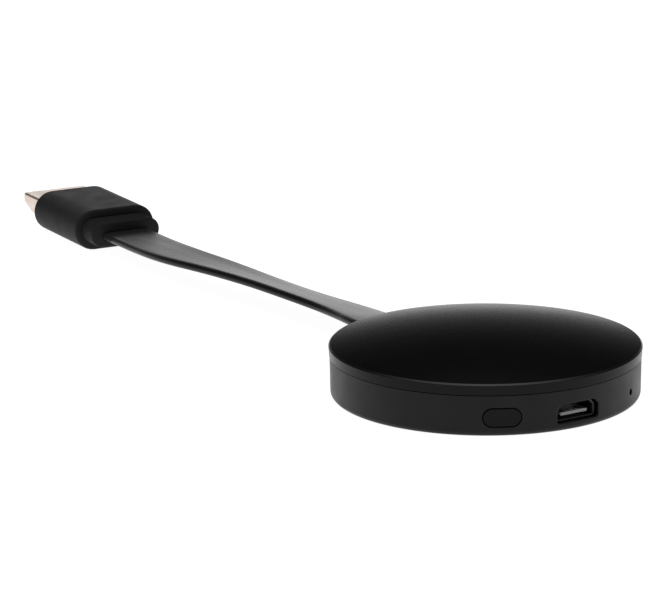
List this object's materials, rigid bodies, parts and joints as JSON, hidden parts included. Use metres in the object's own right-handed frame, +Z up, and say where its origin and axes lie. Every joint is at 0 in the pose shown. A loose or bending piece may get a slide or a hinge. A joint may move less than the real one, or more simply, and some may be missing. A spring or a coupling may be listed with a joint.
{
  "type": "streaming media player",
  "caption": "Round black puck with a glossy domed cover, side button and micro-USB port, and a short flat cable that ends in an HDMI plug.",
  "frame": {"origin": "centre of the puck's underside, on the surface that the player lies on", "axes": "+Z up, through the middle of the dome; the micro-USB port faces -Y and the cable leaves towards +Y"},
  "size_m": [0.054, 0.1897, 0.0122],
  "materials": {
    "cover_gloss": "polished black dome, mirror-like with a fine haze",
    "housing_satin": "satin black moulded plastic with a very fine spark-eroded grain",
    "button_satin": "satin black moulded plastic",
    "cable_jacket": "soft satin black elastomer jacket",
    "plug_mould": "satin black soft-touch overmould",
    "plug_metal": "pale gold-nickel plating, satin",
    "port_metal": "bright nickel-plated sheet",
    "contact_gold": "gold-plated contacts",
    "insulator_black": "black liquid-crystal polymer",
    "board_mask": "dark green solder mask",
    "chip_black": "black moulding compound with a matt surface",
    "can_metal": "tin-plated sheet steel",
    "spreader_metal": "bare rolled aluminium",
    "pad_grey": "soft grey-blue silicone pad",
    "screw_steel": "zinc-plated steel",
    "pipe_clear": "milky clear polycarbonate",
    "led_white": "white LED package",
    "ceramic": "tan ceramic with tinned ends",
    "ferrite": "dark grey ferrite",
    "copper": "tinned copper conductors",
    "grommet_rubber": "black rubber",
    "core_mould": "natural polyethylene inner mould"
  },
  "bodies": {
    "puck": {"top_cover": "cover_gloss", "lower_housing": "housing_satin", "main_pcb": "board_mask", "board_screws": "screw_steel", "usb_shell": "port_metal", "usb_insulator": "insulator_black", "usb_contacts": "contact_gold", "tact_switch_body": "chip_black", "light_pipe": "pipe_clear", "status_led": "led_white", "soc": "chip_black", "memory_chips": "chip_black", "flash_chip": "chip_black", "wifi_module": "can_metal", "crystal": "can_metal", "power_inductors": "ferrite", "capacitors": "ceramic", "antennas": "port_metal", "shield_can": "can_metal", "soc_pad": "pad_grey", "thermal_pad": "pad_grey", "heat_spreader": "spreader_metal", "flat_cable": "cable_jacket", "cable_wires": "copper", "cable_grommet": "grommet_rubber", "cable_clamp": "can_metal", "clamp_screws": "screw_steel", "plug_overmold": "plug_mould", "plug_collar": "plug_mould", "plug_core": "core_mould", "hdmi_shell": "plug_metal", "hdmi_insulator": "insulator_black", "hdmi_contacts": "contact_gold"},
    "button": {"button_cap": "button_satin"},
    "plunger": {"tact_switch_plunger": "pipe_clear"}
  },
  "joints": [
    {"name": "button_press", "type": "slide", "parent": "puck", "child": "button", "axis": [0.4939, 0.8695, 0], "range_m": [0, 0.0004], "stiffness_N_per_m": 3500},
    {"name": "plunger_press", "type": "slide", "parent": "puck", "child": "plunger", "axis": [0.4939, 0.8695, 0], "range_m": [0, 0.0004]}
  ],
  "couplings": [
    {"joint": "plunger_press", "follows": "button_press", "ratio": 1}
  ]
}
